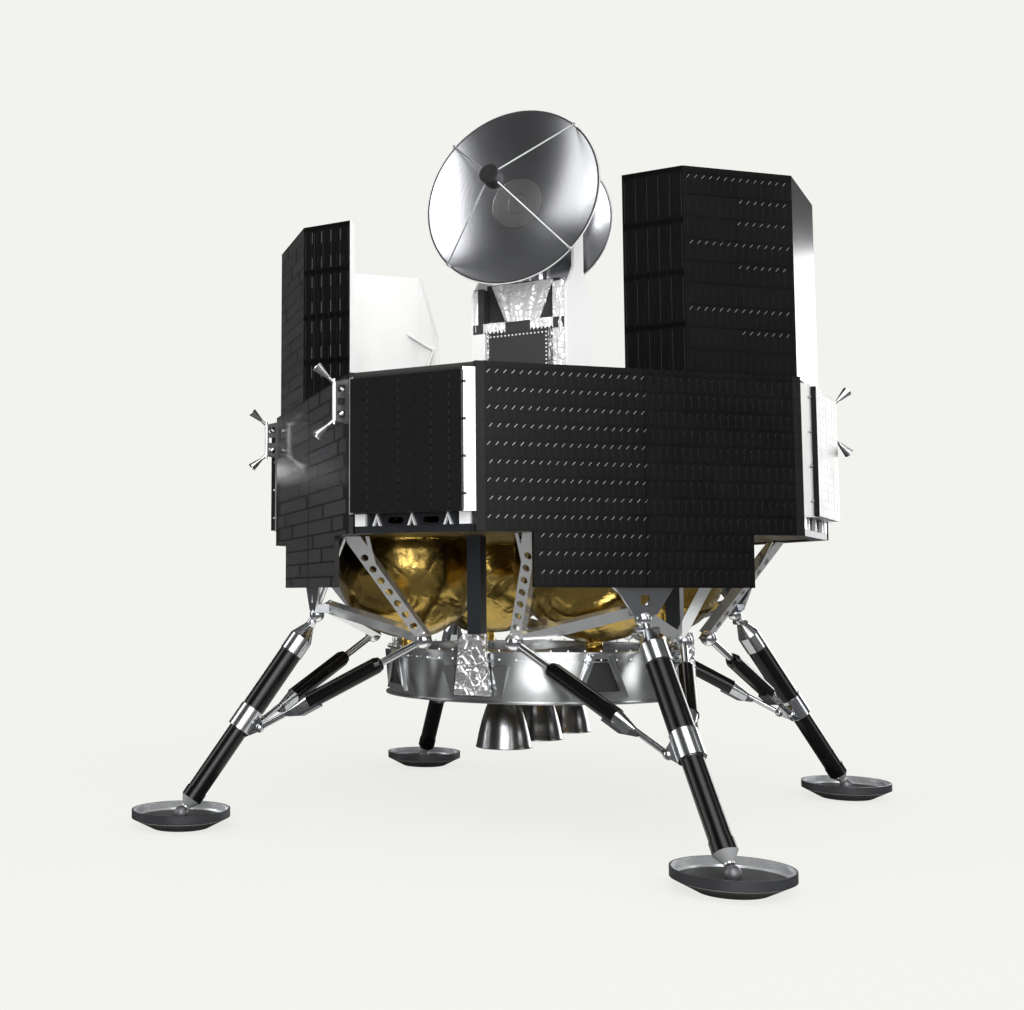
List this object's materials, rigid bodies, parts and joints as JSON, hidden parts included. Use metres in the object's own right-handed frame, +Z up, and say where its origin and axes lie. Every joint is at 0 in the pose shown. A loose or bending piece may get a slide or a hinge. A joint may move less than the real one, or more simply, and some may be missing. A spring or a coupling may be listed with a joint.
{
  "type": "lunar lander",
  "caption": "Four-legged uncrewed lunar lander with an octagonal solar-clad body, folded solar screens, gold propellant tanks, engine bells and steerable dish antennas.",
  "frame": {"origin": "on the ground below the lander's axis, level with the undersides of the foot pads", "axes": "+Z up; -Y out of the front face and front leg, +X out of the right face and right leg"},
  "size_m": [4.5098, 4.5098, 3.97],
  "materials": {
    "solar_panel": "black solar cells under cover glass",
    "gold_foil": "crinkled gold insulation foil over aluminium",
    "silver_foil": "crinkled silver insulation foil",
    "graphite_composite": "satin graphite composite",
    "black_tube": "gloss black tube with bright aluminium fittings",
    "bare_aluminium": "satin machined aluminium",
    "nozzle_metal": "dark polished high-temperature alloy",
    "polished_reflector": "polished spun reflector",
    "dark_housing": "satin dark grey",
    "white_radiator": "white radiator paint",
    "dark_structure": "dark grey satin structure"
  },
  "bodies": {
    "lander": {"corner_columns": "dark_structure", "corner_modules": "white_radiator", "corner_panels": "solar_panel", "engine_bell_centre": "nozzle_metal", "engine_bell_front": "nozzle_metal", "engine_bell_rear": "nozzle_metal", "engine_mount": "bare_aluminium", "foot_pad_front": "graphite_composite", "foot_pad_left": "graphite_composite", "foot_pad_rear": "graphite_composite", "foot_pad_right": "graphite_composite", "gimbal_supports": "silver_foil", "leg_braces_front": "black_tube", "leg_braces_left": "black_tube", "leg_braces_rear": "black_tube", "leg_braces_right": "black_tube", "leg_frame_front": "bare_aluminium", "leg_frame_left": "bare_aluminium", "leg_frame_rear": "bare_aluminium", "leg_frame_right": "bare_aluminium", "leg_strut_front": "black_tube", "leg_strut_left": "black_tube", "leg_strut_rear": "black_tube", "leg_strut_right": "black_tube", "lower_deck": "gold_foil", "lower_frame": "bare_aluminium", "mast_box": "silver_foil", "mast_plates": "white_radiator", "side_panel_front": "solar_panel", "side_panel_left": "solar_panel", "side_panel_rear": "solar_panel", "side_panel_right": "solar_panel", "tank_front": "gold_foil", "tank_left": "gold_foil", "tank_rear": "gold_foil", "tank_right": "gold_foil", "thrust_ring": "bare_aluminium", "thruster_pod_front_left": "bare_aluminium", "thruster_pod_front_right": "bare_aluminium", "thruster_pod_rear_left": "bare_aluminium", "thruster_pod_rear_right": "bare_aluminium", "top_deck": "silver_foil", "tower_left": "solar_panel", "tower_right": "solar_panel"},
    "front_yoke": {"front_yoke": "bare_aluminium"},
    "front_dish": {"front_dish": "polished_reflector", "front_feed": "dark_housing"},
    "rear_yoke": {"rear_yoke": "bare_aluminium"},
    "rear_dish": {"rear_dish": "polished_reflector", "rear_feed": "dark_housing"}
  },
  "joints": [
    {"name": "front_azimuth", "type": "hinge", "parent": "lander", "child": "front_yoke", "pos_m": [-0.04243, -0.04243, 3], "axis": [0, 0, 1], "range_deg": [-12, 12]},
    {"name": "front_elevation", "type": "hinge", "parent": "front_yoke", "child": "front_dish", "pos_m": [-0.04243, -0.04243, 3.417], "axis": [-0.7071, 0.7071, 0], "range_deg": [-12, 15]},
    {"name": "rear_azimuth", "type": "hinge", "parent": "lander", "child": "rear_yoke", "pos_m": [0.04243, 0.04243, 3], "axis": [0, 0, 1], "range_deg": [-12, 12]},
    {"name": "rear_elevation", "type": "hinge", "parent": "rear_yoke", "child": "rear_dish", "pos_m": [0.04243, 0.04243, 3.417], "axis": [0.7071, -0.7071, 0], "range_deg": [-12, 15]}
  ]
}
